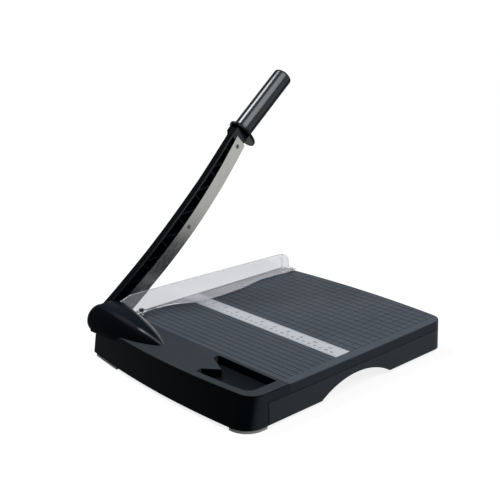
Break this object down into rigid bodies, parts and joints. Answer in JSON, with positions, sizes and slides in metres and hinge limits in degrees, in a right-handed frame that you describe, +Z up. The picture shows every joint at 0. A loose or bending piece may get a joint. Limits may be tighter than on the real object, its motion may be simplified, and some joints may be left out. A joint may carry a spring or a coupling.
{
  "type": "lever paper cutter",
  "caption": "Lever guillotine for paper and card: ruled base, hinged blade arm with grip and guard, clear spring-loaded paper clamp, and a small tray.",
  "frame": {"origin": "under the middle of the whole cutter with its arm at rest, at the desk surface, in the plane of the feet's undersides", "axes": "+Z up; +Y along the cutting edge from the pivot end to the far end; +X across the sheet, from the cutting edge to the hand-hold side"},
  "size_m": [0.349, 0.4051, 0.3639],
  "materials": {
    "deck_plastic": "fine-grained slate grey moulding with a printed grid",
    "cover_plastic": "fine-grained near-black moulding",
    "frame_plastic": "fine-grained near-black moulding",
    "ruler_scale": "light grey printed strip",
    "foot_rubber": "light grey soft rubber",
    "knife_steel": "ground edge",
    "blade_steel": "brushed along the blade",
    "plated_steel": "zinc plated",
    "bright_screw": "zinc plated",
    "dark_screw": "blackened",
    "arm_plastic": "satin black moulding",
    "cap_plastic": "satin black moulding",
    "guard_plastic": "polished black moulding",
    "grip_plastic": "polished black moulding",
    "bush_brass": "turned",
    "clear_plastic": "clear moulded acrylic",
    "stud_nylon": "natural nylon",
    "spring_steel": "drawn wire"
  },
  "bodies": {
    "base": {"deck_plate": "deck_plastic", "front_cover": "cover_plastic", "base_frame": "frame_plastic", "ruler_strip": "ruler_scale", "foot_front_left": "foot_rubber", "foot_front_right": "foot_rubber", "foot_rear_left": "foot_rubber", "foot_rear_right": "foot_rubber", "bed_knife": "knife_steel", "bed_knife_screws": "dark_screw", "frame_screws": "bright_screw", "cover_screws": "bright_screw", "pivot_bracket": "plated_steel", "pivot_bracket_screws": "bright_screw", "pivot_cover": "arm_plastic", "pivot_cover_screws": "bright_screw", "pivot_bolt": "plated_steel", "pivot_washers": "plated_steel", "disc_springs": "plated_steel", "pivot_nut": "plated_steel", "guard_screw_near": "dark_screw", "guard_stud_far": "stud_nylon"},
    "blade_arm": {"arm_beam": "arm_plastic", "blade": "blade_steel", "blade_screws": "blade_steel", "pivot_bush": "bush_brass", "hub_cap": "cap_plastic", "hand_guard": "guard_plastic", "handle_core": "plated_steel", "handle_grip": "grip_plastic"},
    "paper_clamp": {"clear_guard": "clear_plastic", "guard_spring_near": "spring_steel", "guard_spring_far": "spring_steel"}
  },
  "joints": [
    {"name": "blade_hinge", "type": "hinge", "parent": "base", "child": "blade_arm", "pos_m": [-0.156, -0.16075, 0.043], "axis": [1, 0, 0], "range_deg": [-42, 43]},
    {"name": "clamp_press", "type": "slide", "parent": "base", "child": "paper_clamp", "axis": [0, 0, 1], "range_m": [-0.0016, 0], "stiffness_N_per_m": 900, "springref_m": 0.002, "deforming": ["guard_spring_near", "guard_spring_far"]}
  ]
}
